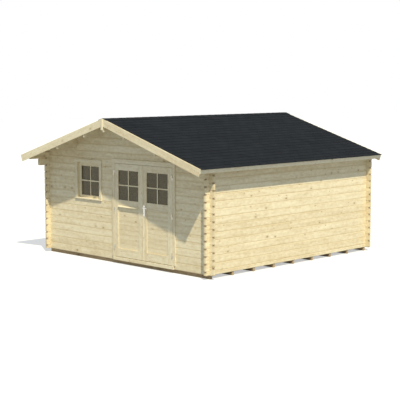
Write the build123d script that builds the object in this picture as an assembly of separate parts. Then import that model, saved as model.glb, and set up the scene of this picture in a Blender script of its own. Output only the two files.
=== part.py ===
from build123d import *

import math
import os

# A log-built garden shed, in millimetres. X runs along the front wall to the right, Y runs from the
# front to the back and Z runs up. The origin is on the ground, at the centre of the base.

# Interlocking wall logs
course_height = 144
wall_thickness = 44
wall_width = 4800
wall_depth = 4900
wall_courses = 14
log_end_projection = 107
log_chamfer = 8
log_end_cut_length = 24
log_end_cut_height = 11
tongue_width = 14
tongue_height = 8
tongue_play = 0.5
notch_play = 0.4

# Top logs of the side walls, which reach forward and carry the front of the roof
corbel_reach = 276
corbel_radius = 32

# Base
bearer_width = 50
bearer_height = 75
bearer_count = 9
bearer_end_inset = 12
bearer_face_inset = 36
deck_thickness = 19
deck_gap = 0.8

# Roof form
roof_pitch = 17.35
wall_top_bevel = 5
eave_overhang = 268
front_overhang = 522
back_overhang = 117
roof_board_thickness = 18
shingle_thickness = 4
shingle_drip = 28
ridge_cap_width = 125
ridge_cap_thickness = 4

# Roof timbers
purlin_width = 44
purlin_depth = 176
inner_purlin_offset = 594
outer_purlin_offset = 1456
ridge_beam_width = 56
ridge_beam_courses = 18
beam_play = 0.4

# Roof edge boards
bargeboard_width = 143
bargeboard_thickness = 18
bargeboard_joint = 0.6
apex_cover_width = 60
apex_cover_length = 226
apex_cover_thickness = 16
apex_cover_chamfer = 8
fascia_height = 90
fascia_thickness = 18

# Doorway and its frame
door_centre = 596
doorway_width = 1740
frame_play = 0.4
jamb_thickness = 35
head_thickness = 62
threshold_height = 70
threshold_projection = 30
threshold_slope = 6
stop_width = 15
trim_thickness = 20
trim_overlap = 40
door_head_trim_overlap = 25
inner_trim_thickness = 16
trim_joint = 0.4

# Door leaves
leaf_thickness = 44
leaf_gap = 5
meeting_gap = 7
stile_width = 117
top_rail_height = 131
glass_height = 593
middle_rail_height = 144
bottom_rail_height = 170
panel_thickness = 16
panel_groove_depth = 10
panel_setback = 14
drip_rail_height = 34
drip_rail_projection = 24
drip_rail_nose = 10
batten_width = 22
batten_thickness = 8

# Glazing
glass_thickness = 4
glass_rebate = 8
glass_setback = 20
glass_play = 0.3

# Hinges
hinge_count = 3
hinge_radius = 8
hinge_sides = 10
hinge_length = 96
hinge_standoff = 2
hinge_wing_width = 26
hinge_wing_thickness = 3
hinge_end_margin = 190
hinge_half_gap = 0.5

# Door furniture
plate_width = 40
plate_height = 220
plate_thickness = 6
plate_edge_distance = 48
plate_middle_height = 1137
plate_corner_chamfer = 7
lever_height_above_plate_middle = 58
lever_hub_radius = 9
lever_hub_length = 44
lever_grip_radius = 8
lever_grip_length = 112
lever_play = 0.4
spindle_width = 8
spindle_hole_radius = 8
keyhole_drop = 46
keyhole_radius = 5

# Window
window_centre = -1056
window_width = 753
window_sill_courses = 8
window_height = 792
window_frame_thickness = 30
window_stile_width = 56
window_top_rail_height = 76
window_bottom_rail_height = 52
window_sash_depth = 38
window_sash_setback = 40
window_inner_projection = 34
sill_projection = 24
sill_slope = 3

# Places worked out from the sizes above
half_width = wall_width / 2
half_depth = wall_depth / 2
slope = math.tan(math.radians(roof_pitch))
slope_cos = math.cos(math.radians(roof_pitch))
slope_sin = math.sin(math.radians(roof_pitch))
floor_line = bearer_height
door_top_line = floor_line + wall_courses * course_height
wall_top_line = floor_line + (wall_courses + 0.5) * course_height - wall_top_bevel
apex_line = wall_top_line + half_width * slope
roof_half_width = half_width + eave_overhang
eave_reach = (roof_half_width - roof_board_thickness * slope_sin) / slope_cos
front_edge = -half_depth - front_overhang
back_edge = half_depth + back_overhang
roof_top_rise = roof_board_thickness + shingle_thickness
overlap = 20


def block(x0, x1, y0, y1, z0, z1):
    middle = Pos((x0 + x1) / 2, (y0 + y1) / 2, (z0 + z1) / 2)
    return middle * Box(abs(x1 - x0), abs(y1 - y0), abs(z1 - z0))


def prism_x(points, x0, x1):
    """A prism along X over the outline given as (y, z) points."""
    outline = Polyline(*[(x0, y, z) for y, z in points], close=True)
    return extrude(make_face(outline), amount=x1 - x0, dir=(1, 0, 0))


def prism_y(points, y0, y1):
    """A prism along Y over the outline given as (x, z) points."""
    outline = Polyline(*[(x, y0, z) for x, z in points], close=True)
    return extrude(make_face(outline), amount=y1 - y0, dir=(0, 1, 0))


def prism_z(points, z0, z1):
    """A prism along Z over the outline given as (x, y) points."""
    outline = Polyline(*[(x, y, z0) for x, y in points], close=True)
    return extrude(make_face(outline), amount=z1 - z0, dir=(0, 0, 1))


def save(name, *shapes):
    solids = []
    for shape in shapes:
        solids.extend(shape.solids())
    node = solids[0] if len(solids) == 1 else Compound(children=solids)
    node.label = name
    export_step(node, f"parts/{name}.step")


def roof_under(x):
    """Height of the roof boards' underside at a distance x from the middle of the shed."""
    return apex_line - abs(x) * slope


def roof_point(side, along, rise):
    """A point of one roof slope: along runs down from the ridge, rise is square to the boards."""
    across = along * slope_cos + rise * slope_sin
    return side * across, apex_line - along * slope_sin + rise * slope_cos


def roof_strip(side, start, end, low, high, y0, y1):
    """A board lying in one roof slope. A start of None is a plumb cut at the ridge."""
    start_low = -low * slope_sin / slope_cos if start is None else start
    start_high = -high * slope_sin / slope_cos if start is None else start
    corners = [(start_low, low), (end, low), (end, high), (start_high, high)]
    return prism_y([roof_point(side, along, rise) for along, rise in corners], y0, y1)


def log_outline(centre, low, high):
    """Section of one log, with chamfered edges that leave a V joint on both faces of the wall."""
    half = wall_thickness / 2
    flat = half - log_chamfer
    points = [(-half, low + log_chamfer), (-flat, low), (flat, low), (half, low + log_chamfer)]
    points += [(half, high - log_chamfer), (flat, high), (-flat, high), (-half, high - log_chamfer)]
    return [(centre + offset, z) for offset, z in points]


def log_side(low, high, start, end):
    """Outline of one log seen from its face, with the upper and lower corners of its ends cut."""
    run = log_end_cut_length
    rise = log_end_cut_height
    points = [(start, low + rise), (start + run, low), (end - run, low), (end, low + rise)]
    points += [(end, high - rise), (end - run, high), (start + run, high), (start, high - rise)]
    return points


def bed_bar(along_x, centre, half_thickness, z0, z1):
    """A bar on a log's bed between the corner joints, where logs are tongued and grooved."""
    reach = (half_width if along_x else half_depth) - wall_thickness - notch_play
    if along_x:
        return block(-reach, reach, centre - half_thickness, centre + half_thickness, z0, z1)
    return block(centre - half_thickness, centre + half_thickness, -reach, reach, z0, z1)


def tongue_and_groove(log, along_x, centre, low, high, grooved, tongued):
    if tongued:
        log = log + bed_bar(along_x, centre, tongue_width / 2, high, high + tongue_height)
    if grooved:
        groove_top = low + tongue_height + tongue_play
        log = log - bed_bar(along_x, centre, tongue_width / 2 + tongue_play, low - overlap, groove_top)
    return log


def corner_notches(low, high, along_x, below, above):
    """What a crossing wall's logs take out of a log: a quarter course below and above."""
    half = half_width if along_x else half_depth
    cut = wall_thickness / 2 + notch_play
    quarter = course_height / 4
    bands = []
    if below:
        bands.append((low - overlap, low + quarter))
    if above:
        bands.append((high - quarter, high + overlap))
    cuts = []
    for side in (-1, 1):
        middle = side * (half - wall_thickness / 2)
        for z0, z1 in bands:
            if along_x:
                cuts.append(block(middle - cut, middle + cut, -wall_depth, wall_depth, z0, z1))
            else:
                cuts.append(block(-wall_width, wall_width, middle - cut, middle + cut, z0, z1))
    return cuts


def under_roof():
    """Everything below the roof boards, as far as the log ends reach."""
    reach = half_width + eave_overhang
    points = [(-reach, -overlap), (reach, -overlap), (reach, roof_under(reach))]
    points += [(0, apex_line), (-reach, roof_under(reach))]
    return prism_y(points, front_edge, back_edge)


def beam_outline(middle, width, bottom, play):
    """Section of a roof timber whose top follows the roof."""
    x0 = middle - width / 2 - play
    x1 = middle + width / 2 + play
    points = [(x0, bottom - play), (x1, bottom - play), (x1, roof_under(x1))]
    if x0 < 0 < x1:
        points.append((0, apex_line))
    points.append((x0, roof_under(x0)))
    return points


def purlin_places():
    return [
        -outer_purlin_offset,
        -inner_purlin_offset,
        inner_purlin_offset,
        outer_purlin_offset,
    ]


def purlin_bottom(middle):
    return roof_under(middle) - purlin_depth


def ridge_beam_bottom():
    return floor_line + ridge_beam_courses * course_height


def beam_notches():
    """Slots in the gable logs for the ridge beam and the purlins, open to the roof."""
    cuts = []
    for middle in purlin_places():
        outline = beam_outline(middle, purlin_width, purlin_bottom(middle), 0)
        x0 = outline[0][0] - beam_play
        x1 = outline[1][0] + beam_play
        cuts.append(block(x0, x1, front_edge, back_edge, purlin_bottom(middle), apex_line))
    reach = ridge_beam_width / 2 + beam_play
    bottom = ridge_beam_bottom()
    cuts.append(block(-reach, reach, front_edge, back_edge, bottom, apex_line + overlap))
    return cuts


def doorway():
    x0 = door_centre - doorway_width / 2
    x1 = door_centre + doorway_width / 2
    return block(x0, x1, front_edge, 0, -overlap, door_top_line)


def window_opening():
    x0 = window_centre - window_width / 2
    x1 = window_centre + window_width / 2
    z0 = floor_line + window_sill_courses * course_height
    return block(x0, x1, front_edge, 0, z0, z0 + window_height)


def end_wall(side, name, openings):
    """Front or back wall: logs along X, with the gable above, as odd and even courses."""
    centre = side * (half_depth - wall_thickness / 2)
    reach = half_width + log_end_projection
    roof = under_roof()
    beams = beam_notches()
    course_count = math.ceil((apex_line - floor_line) / course_height)
    courses = {"odd": [], "even": []}
    for course in range(1, course_count + 1):
        low = floor_line + (course - 1) * course_height
        high = low + course_height
        log = prism_x(log_outline(centre, low, high), -reach, reach)
        if course <= wall_courses:
            y0 = centre - wall_thickness
            y1 = centre + wall_thickness
            log = log & prism_y(log_side(low, high, -reach, reach), y0, y1)
        log = tongue_and_groove(log, True, centre, low, high, course > 1, True)
        in_gable = course > wall_courses
        if course <= wall_courses + 1:
            log = log - corner_notches(low, high, True, True, not in_gable)
        if openings:
            log = log - openings
        if in_gable:
            log = (log - beams) & roof
        courses["odd" if course % 2 else "even"].append(log)
    for parity, logs in courses.items():
        save(f"{name}_wall_{parity}_logs", *logs)


def corbel_cut(front, low):
    """Takes the lower front corner of a reaching log round."""
    corner = block(-wall_width, wall_width, front - overlap, front + corbel_radius,
                   low - overlap, low + corbel_radius)
    turn = Pos(0, front + corbel_radius, low + corbel_radius) * Rot(0, 90, 0)
    return corner - turn * Cylinder(corbel_radius, 3 * wall_width)


def side_wall(side, name):
    """Side wall: a half log at the foot, so that its courses lie between those of the front."""
    centre = side * (half_width - wall_thickness / 2)
    roof = under_roof()
    courses = {"odd": [], "even": []}
    for course in range(wall_courses + 1):
        high = floor_line + (course + 0.5) * course_height
        low = max(floor_line, high - course_height)
        front = -half_depth - log_end_projection
        back = half_depth + log_end_projection
        if course == wall_courses:
            front = front_edge + bargeboard_thickness
            back = back_edge - bargeboard_thickness
        if course == wall_courses - 1:
            front = -half_depth - corbel_reach
        tongued = course < wall_courses
        log = prism_y(log_outline(centre, low, high), front, back)
        if tongued:
            x0 = centre - wall_thickness
            x1 = centre + wall_thickness
            log = log & prism_x(log_side(low, high, front, back), x0, x1)
        log = tongue_and_groove(log, False, centre, low, high, course > 0, tongued)
        log = log - corner_notches(low, high, False, course > 0, True)
        if course == wall_courses:
            log = log & roof
        if course == wall_courses - 1:
            log = log - corbel_cut(front, low)
        courses["odd" if course % 2 else "even"].append(log)
    for parity, logs in courses.items():
        save(f"{name}_wall_{parity}_logs", *logs)


def base():
    """Nine bearers laid from side to side, and the floor boards on them."""
    reach = half_width - bearer_end_inset
    first = -half_depth + bearer_face_inset + bearer_width / 2
    pitch = -2 * first / (bearer_count - 1)
    bearers = []
    for index in range(bearer_count):
        y = first + index * pitch
        half = bearer_width / 2
        bearers.append(block(-reach, reach, y - half, y + half, 0, bearer_height))
    save("floor_bearers", *bearers)
    x = half_width - wall_thickness - deck_gap
    y = half_depth - wall_thickness - deck_gap
    save("floor_deck", block(-x, x, -y, y, floor_line, floor_line + deck_thickness))


def roof_timbers():
    y0 = front_edge + bargeboard_thickness
    y1 = back_edge - bargeboard_thickness
    ridge = beam_outline(0, ridge_beam_width, ridge_beam_bottom(), 0)
    save("ridge_beam", prism_y(ridge, y0, y1))
    purlins = []
    for middle in purlin_places():
        outline = beam_outline(middle, purlin_width, purlin_bottom(middle), 0)
        purlins.append(prism_y(outline, y0, y1))
    save("purlins", *purlins)


def roof_covering():
    y0 = front_edge + bargeboard_thickness
    y1 = back_edge - bargeboard_thickness
    board_end = eave_reach - fascia_thickness
    drip_end = eave_reach + shingle_drip
    for side, name in ((-1, "left"), (1, "right")):
        boards = roof_strip(side, None, board_end, 0, roof_board_thickness, y0, y1)
        save(f"roof_boards_{name}", boards)
        shingles = roof_strip(side, None, drip_end, roof_board_thickness, roof_top_rise, y0, y1)
        save(f"shingles_{name}", shingles)
    cap_top = roof_top_rise + ridge_cap_thickness
    halves = [roof_strip(side, None, ridge_cap_width, roof_top_rise, cap_top, front_edge, back_edge)
              for side in (-1, 1)]
    save("ridge_cap", halves[0] + halves[1])


def roof_edges():
    fascias = []
    for side in (-1, 1):
        low = roof_board_thickness - fascia_height
        y0 = front_edge + bargeboard_thickness
        y1 = back_edge - bargeboard_thickness
        start = eave_reach - fascia_thickness
        fascias.append(roof_strip(side, start, eave_reach, low, roof_board_thickness, y0, y1))
    save("eave_fascias", *fascias)
    joint = bargeboard_joint / 2
    covers = []
    for end, name in ((-1, "front"), (1, "back")):
        face = front_edge if end < 0 else back_edge
        inner = face - end * bargeboard_thickness
        outer = face + end * apex_cover_thickness
        mitre = block(-joint, joint, face - overlap, face + overlap, 0, 2 * apex_line)
        boards = []
        for side in (-1, 1):
            low = roof_top_rise - bargeboard_width
            board = roof_strip(side, None, eave_reach, low, roof_top_rise,
                               min(face, inner), max(face, inner))
            boards.append(board - mitre)
        save(f"{name}_bargeboards", *boards)
        covers.append(apex_cover(min(face, outer), max(face, outer)))
    save("apex_covers", *covers)


def apex_cover(y0, y1):
    """Strip over the joint of two bargeboards, cut to the roof above and clipped below."""
    half = apex_cover_width / 2
    top = apex_line + roof_top_rise / slope_cos
    bottom = top - apex_cover_length
    points = [(-half + apex_cover_chamfer, bottom), (half - apex_cover_chamfer, bottom)]
    points += [(half, bottom + apex_cover_chamfer), (half, top - half * slope), (0, top)]
    points += [(-half, top - half * slope), (-half, bottom + apex_cover_chamfer)]
    return prism_y(points, y0, y1)


wall_face = -half_depth
inner_face = wall_face + wall_thickness
trim_face = wall_face - trim_thickness
leaf_back = trim_face + leaf_thickness
leaf_foot = floor_line + threshold_height + leaf_gap
leaf_head = door_top_line - frame_play - head_thickness - leaf_gap
leaf_outer = doorway_width / 2 - frame_play - jamb_thickness - leaf_gap
leaf_inner = meeting_gap / 2
hinge_axis_x = leaf_outer + leaf_gap / 2
hinge_axis_y = trim_face - hinge_standoff - hinge_radius


def door_frame():
    """Jambs and head with a stop behind the leaves, threshold below, and trims on both faces."""
    half = doorway_width / 2
    outer = half - frame_play
    lining = outer - jamb_thickness
    stop = lining - leaf_gap - stop_width
    stop_face = leaf_back + leaf_gap
    foot = floor_line
    head_low = door_top_line - frame_play - head_thickness
    jambs = []
    for side in (-1, 1):
        plan = [(outer, wall_face), (outer, inner_face), (stop, inner_face), (stop, stop_face)]
        plan += [(lining, stop_face), (lining, wall_face)]
        plan = [(door_centre + side * x, y) for x, y in plan]
        sill_top = floor_line + threshold_height + frame_play
        jambs.append(prism_z(plan, sill_top, head_low - trim_joint))
    save("door_jambs", *jambs)
    section = [(wall_face, head_low + head_thickness), (wall_face, head_low)]
    section += [(inner_face, head_low), (inner_face, head_low + head_thickness)]
    head = prism_x(section, door_centre - outer, door_centre + outer)
    stop_reach = stop - trim_joint
    stop_low = head_low - leaf_gap - stop_width
    head_stop = block(door_centre - stop_reach, door_centre + stop_reach, stop_face, inner_face,
                      stop_low, head_low)
    save("door_head", head + head_stop)
    nose = wall_face - threshold_projection
    top = foot + threshold_height
    section = [(inner_face, foot), (inner_face, top), (leaf_back, top), (nose, top - threshold_slope)]
    section += [(nose, foot)]
    threshold = prism_x(section, door_centre - outer, door_centre + outer)
    save("door_threshold", threshold)
    save("door_trims", *door_trims(outer, lining, head_low, top))


def door_trims(outer, lining, head_low, sill_top):
    edge = outer + frame_play + trim_overlap
    trim_top = door_top_line + door_head_trim_overlap
    trims = []
    faces = ((trim_face, wall_face), (inner_face, inner_face + inner_trim_thickness))
    for y0, y1 in faces:
        for side in (-1, 1):
            x0 = door_centre + side * lining
            x1 = door_centre + side * edge
            trims.append(block(min(x0, x1), max(x0, x1), y0, y1, sill_top + trim_joint,
                               head_low - trim_joint))
        trims.append(block(door_centre - edge, door_centre + edge, y0, y1, head_low, trim_top))
    return trims


def door_leaf(side, name):
    """One leaf: stiles and rails, grooved for the panel below and the glass above."""
    x_outer = door_centre + side * leaf_outer
    x_inner = door_centre + side * leaf_inner
    x0 = min(x_outer, x_inner)
    x1 = max(x_outer, x_inner)
    left = x0 + stile_width
    right = x1 - stile_width
    glass_top = leaf_head - top_rail_height
    glass_foot = glass_top - glass_height
    panel_top = glass_foot - middle_rail_height
    panel_foot = leaf_foot + bottom_rail_height
    frame = block(x0, x1, trim_face, leaf_back, leaf_foot, leaf_head)
    frame = frame - block(left, right, trim_face, leaf_back, glass_foot, glass_top)
    frame = frame - block(left, right, trim_face, leaf_back, panel_foot, panel_top)
    glass_y = trim_face + glass_setback
    panel_y = trim_face + panel_setback
    frame = frame - rebate(left, right, glass_foot, glass_top, glass_rebate, glass_y, glass_thickness)
    frame = frame - rebate(left, right, panel_foot, panel_top, panel_groove_depth, panel_y,
                           panel_thickness)
    if side > 0:
        frame = frame - spindle_hole(x0, trim_face - overlap, leaf_back + overlap)
    save(f"{name}_door_frame", frame)
    glass = seated(left, right, glass_foot, glass_top, glass_rebate, glass_y, glass_thickness)
    save(f"{name}_door_glass", glass)
    panel = seated(left, right, panel_foot, panel_top, panel_groove_depth, panel_y, panel_thickness)
    save(f"{name}_door_panel", panel)
    save(f"{name}_door_drip_rail", drip_rail(left, right, panel_top))


def rebate(x0, x1, z0, z1, depth, y, thickness):
    """Groove round an opening for a pane or a panel."""
    play = glass_play
    return block(x0 - depth, x1 + depth, y - play, y + thickness + play, z0 - depth, z1 + depth)


def seated(x0, x1, z0, z1, depth, y, thickness):
    """The pane or panel in that groove."""
    reach = depth - glass_play
    return block(x0 - reach, x1 + reach, y, y + thickness, z0 - reach, z1 + reach)


def drip_rail(x0, x1, panel_top):
    """Weather bar across the foot of the middle rail, sloped above to shed water."""
    nose = trim_face - drip_rail_projection
    top = panel_top + drip_rail_height
    section = [(trim_face, panel_top), (trim_face, top), (nose, panel_top + drip_rail_nose)]
    section += [(nose, panel_top)]
    return prism_x(section, x0, x1)


def hinge_heights():
    low = leaf_foot + hinge_end_margin
    high = leaf_head - hinge_end_margin
    return [low + (high - low) * index / (hinge_count - 1) for index in range(hinge_count)]


def hinge_half(side, z0, z1, on_leaf):
    """Knuckle with its wing, which lies on the leaf's face or on the trim's."""
    axis = door_centre + side * hinge_axis_x
    toward = -side if on_leaf else side
    knuckle = Pos(axis, hinge_axis_y, z0) * extrude(RegularPolygon(hinge_radius, hinge_sides), z1 - z0)
    end = axis + toward * hinge_wing_width
    wing = block(min(axis, end), max(axis, end), trim_face - hinge_wing_thickness, trim_face, z0, z1)
    return knuckle + wing


def hinges(side, name):
    """Lift-off hinges: the upper knuckles are fixed to the leaf, the lower ones to the frame."""
    leaf_halves = []
    frame_halves = []
    for middle in hinge_heights():
        top = middle + hinge_length / 2
        low = middle - hinge_length / 2
        leaf_halves.append(hinge_half(side, middle + hinge_half_gap / 2, top, True))
        frame_halves.append(hinge_half(side, low, middle - hinge_half_gap / 2, False))
    save(f"{name}_door_hinges", *leaf_halves)
    return frame_halves


lever_axis_x = door_centre + leaf_inner + plate_edge_distance
lever_axis_z = plate_middle_height + lever_height_above_plate_middle


def spindle_hole(x, y0, y1):
    place = Pos(lever_axis_x, (y0 + y1) / 2, lever_axis_z) * Rot(90, 0, 0)
    return place * Cylinder(spindle_hole_radius, abs(y1 - y0))


def handle_plates():
    """Long back plates on both faces of the right leaf, with a bearing hole and a keyhole."""
    plates = []
    for face, outward in ((trim_face, -1), (leaf_back, 1)):
        y = face + outward * plate_thickness / 2
        plate = Pos(lever_axis_x, y, plate_middle_height)
        plate = plate * Box(plate_width, plate_thickness, plate_height)
        plate = chamfer(plate.edges().filter_by(Axis.Y), plate_corner_chamfer)
        bearing = Pos(lever_axis_x, y, lever_axis_z) * Rot(90, 0, 0)
        bearing = bearing * Cylinder(lever_hub_radius + lever_play, 2 * plate_thickness)
        keyhole = Pos(lever_axis_x, y, plate_middle_height - keyhole_drop) * Rot(90, 0, 0)
        keyhole = keyhole * Cylinder(keyhole_radius, 2 * plate_thickness)
        plates.append(plate - bearing - keyhole)
    save("handle_plates", *plates)


def lever():
    """Lever on both faces, joined by a square spindle through the leaf."""
    parts = spindle_bar()
    for face, outward in ((trim_face, -1), (leaf_back, 1)):
        y_end = face + outward * lever_hub_length
        hub_start = face + outward * lever_play
        hub = Pos(lever_axis_x, (hub_start + y_end) / 2, lever_axis_z) * Rot(90, 0, 0)
        hub = hub * Cylinder(lever_hub_radius, abs(y_end - hub_start))
        y_grip = y_end - outward * lever_grip_radius
        grip = Pos(lever_axis_x + lever_grip_length / 2, y_grip, lever_axis_z) * Rot(0, 90, 0)
        grip = grip * Cylinder(lever_grip_radius, lever_grip_length)
        parts = parts + hub + grip
    save("door_lever", parts)


def spindle_bar():
    half = spindle_width / 2
    y0 = trim_face - plate_thickness
    y1 = leaf_back + plate_thickness
    return block(lever_axis_x - half, lever_axis_x + half, y0, y1,
                 lever_axis_z - half, lever_axis_z + half)


def meeting_batten():
    """Cover strip on the right leaf's meeting edge."""
    x0 = door_centre + leaf_inner
    section = block(x0, x0 + batten_width, trim_face - batten_thickness, trim_face,
                    leaf_foot, leaf_head)
    save("meeting_batten", section)


def window():
    """Fixed window: lining, sash, pane, trims on the wall's face and a sill."""
    foot = floor_line + window_sill_courses * course_height
    head = foot + window_height
    x0 = window_centre - window_width / 2
    x1 = window_centre + window_width / 2
    back = inner_face + window_inner_projection
    play = frame_play
    t = window_frame_thickness
    lining = block(x0 + play, x1 - play, wall_face, back, foot + play, head - play)
    inner = (x0 + play + t, x1 - play - t, foot + play + t, head - play - t)
    lining = lining - block(inner[0], inner[1], wall_face, back, inner[2], inner[3])
    save("window_frame", lining)
    y0 = wall_face + window_sash_setback
    y1 = y0 + window_sash_depth
    sash = block(inner[0] + play, inner[1] - play, y0, y1, inner[2] + play, inner[3] - play)
    left = inner[0] + play + window_stile_width
    right = inner[1] - play - window_stile_width
    low = inner[2] + play + window_bottom_rail_height
    high = inner[3] - play - window_top_rail_height
    pane_y = y0 + glass_setback
    sash = sash - block(left, right, y0, y1, low, high)
    sash = sash - rebate(left, right, low, high, glass_rebate, pane_y, glass_thickness)
    save("window_sash", sash)
    save("window_glass", seated(left, right, low, high, glass_rebate, pane_y, glass_thickness))
    trims = []
    edge0 = x0 - trim_overlap
    edge1 = x1 + trim_overlap
    trim_head = head + trim_overlap
    trim_foot = inner[2] + trim_joint
    trim_break = inner[3] - trim_joint
    trims.append(block(edge0, inner[0], trim_face, wall_face, trim_foot, trim_break))
    trims.append(block(inner[1], edge1, trim_face, wall_face, trim_foot, trim_break))
    trims.append(block(edge0, edge1, trim_face, wall_face, inner[3], trim_head))
    save("window_trims", *trims)
    nose = wall_face - sill_projection
    section = [(wall_face, inner[2]), (nose, inner[2] - sill_slope), (nose, foot + play)]
    section += [(wall_face, foot + play)]
    save("window_sill", prism_x(section, edge0, edge1))


os.makedirs("parts", exist_ok=True)
base()
side_wall(-1, "left")
side_wall(1, "right")
end_wall(-1, "front", [doorway(), window_opening()])
end_wall(1, "back", [])
roof_timbers()
roof_covering()
roof_edges()
door_frame()
door_leaf(-1, "left")
door_leaf(1, "right")
save("frame_hinges", *hinges(-1, "left"), *hinges(1, "right"))
handle_plates()
lever()
meeting_batten()
window()
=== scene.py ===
import itertools
import math

import bmesh
import bpy
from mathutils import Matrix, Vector


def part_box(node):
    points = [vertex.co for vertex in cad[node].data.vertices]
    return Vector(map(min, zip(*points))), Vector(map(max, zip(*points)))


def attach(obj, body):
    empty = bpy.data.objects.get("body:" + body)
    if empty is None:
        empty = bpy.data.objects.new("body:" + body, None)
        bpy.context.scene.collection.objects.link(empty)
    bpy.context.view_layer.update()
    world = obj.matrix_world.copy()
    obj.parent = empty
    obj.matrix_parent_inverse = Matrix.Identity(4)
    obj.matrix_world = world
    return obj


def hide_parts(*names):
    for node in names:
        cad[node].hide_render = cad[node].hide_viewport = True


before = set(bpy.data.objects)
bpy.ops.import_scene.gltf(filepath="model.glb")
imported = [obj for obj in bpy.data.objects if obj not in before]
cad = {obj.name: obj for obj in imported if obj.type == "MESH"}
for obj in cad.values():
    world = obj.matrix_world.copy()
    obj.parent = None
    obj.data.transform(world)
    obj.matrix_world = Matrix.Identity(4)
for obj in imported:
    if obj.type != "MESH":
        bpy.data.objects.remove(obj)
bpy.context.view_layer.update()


# Floor bearers.
# Nine square-edged bearers of pressure-impregnated softwood, laid from side to side
# under the floor. They are brown from the salts, with worn arrises.

class Wire:
    """A socket of a node tree. Python's operators on it add Math nodes."""

    def __init__(self, graph, socket):
        self.graph = graph
        self.socket = socket

    def __add__(self, other):
        return self.graph.math("ADD", self, other)

    def __radd__(self, other):
        return self.graph.math("ADD", other, self)

    def __sub__(self, other):
        return self.graph.math("SUBTRACT", self, other)

    def __rsub__(self, other):
        return self.graph.math("SUBTRACT", other, self)

    def __mul__(self, other):
        return self.graph.math("MULTIPLY", self, other)

    def __rmul__(self, other):
        return self.graph.math("MULTIPLY", other, self)

    def __truediv__(self, other):
        return self.graph.math("DIVIDE", self, other)

    def __rtruediv__(self, other):
        return self.graph.math("DIVIDE", other, self)

    def __pow__(self, other):
        return self.graph.math("POWER", self, other)

    def __abs__(self):
        return self.graph.math("ABSOLUTE", self)

    def __gt__(self, other):
        return self.graph.math("GREATER_THAN", self, other)

    def smooth(self, low, high):
        """From 0 at low to 1 at high, without a corner at either end."""
        return self.graph.node("ShaderNodeMapRange", {"interpolation_type": "SMOOTHSTEP"},
                               {"Value": self, "From Min": low, "From Max": high})

    def whole(self):
        return self.graph.math("FLOOR", self)

    def wave(self):
        return self.graph.math("SINE", self)

    def clamped(self):
        return self.graph.node("ShaderNodeClamp", {}, {0: self})


class Graph:
    """A node tree, of a material, of the sky or of a piece that repeats."""

    def __init__(self, tree):
        self.tree = tree
        self.tree.nodes.clear()

    def node(self, kind, settings, values, out=0):
        """A node with its settings, then its values and links, as the wire of one output."""
        made = self.tree.nodes.new(kind)
        for name, value in settings.items():
            setattr(made, name, value)
        for key, value in values.items():
            if isinstance(value, Wire):
                self.tree.links.new(value.socket, made.inputs[key])
            else:
                made.inputs[key].default_value = value
        return Wire(self, made.outputs[out] if made.outputs else None)

    def math(self, operation, first, second=0.0):
        return self.node("ShaderNodeMath", {"operation": operation}, {0: first, 1: second})

    def vector(self, x, y, z):
        return self.node("ShaderNodeCombineXYZ", {}, {"X": x, "Y": y, "Z": z})

    def split(self, vector):
        """The three parts of a vector."""
        return [self.node("ShaderNodeSeparateXYZ", {}, {0: vector}, out) for out in range(3)]

    def mix(self, amount, first, second):
        """Two colours mixed by an amount."""
        return self.node("ShaderNodeMix", {"data_type": "RGBA"}, {0: amount, 6: first, 7: second},
                         2)

    def place(self):
        """The place on the object, in metres."""
        return self.node("ShaderNodeTexCoord", {}, {}, "Object")

    def noise(self, place, scale, detail=3.0, roughness=0.5):
        return self.node("ShaderNodeTexNoise", {}, {"Vector": place, "Scale": scale,
                                                    "Detail": detail, "Roughness": roughness})

    def chance(self, value, seed):
        """A random number from 0 to 1 for each value."""
        return self.node("ShaderNodeTexWhiteNoise", {"noise_dimensions": "2D"},
                         {"Vector": self.vector(value, seed, 0.0)})

    def bump(self, height, strength, distance):
        return self.node("ShaderNodeBump", {},
                         {"Height": height, "Strength": strength, "Distance": distance})


def material_named(name):
    """A new material and the graph of its nodes."""
    material = bpy.data.materials.new(name)
    material.use_nodes = True
    return material, Graph(material.node_tree)


def surface(g, **inputs):
    """Ends a material in its shader. An underscore in an input's name stands for a space."""
    values = {name.replace("_", " "): value for name, value in inputs.items()}
    shader = g.node("ShaderNodeBsdfPrincipled", {}, values)
    g.node("ShaderNodeOutputMaterial", {}, {"Surface": shader})


def shade(red, green, blue):
    """A colour given as it shows on a screen, from 0 to 255, as the renderer wants it."""
    parts = []
    for value in (red, green, blue):
        value = value / 255
        parts.append(value / 12.92 if value <= 0.04045 else ((value + 0.055) / 1.055) ** 2.4)
    return (*parts, 1.0)


def grain_attribute(g):
    return g.node("ShaderNodeAttribute", {"attribute_name": "grain"}, {}, "Vector")


def member_attribute(g):
    return g.node("ShaderNodeAttribute", {"attribute_name": "member"}, {}, "Fac")


# The growth rings' wave in radians a metre, how far behind the face the heart lies, and how
# many cells a metre, along and across the grain, may hold a knot.
ring_rate = 1400.0
heart_depth = 0.045
knot_cells = (4.4, 8.0)


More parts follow.
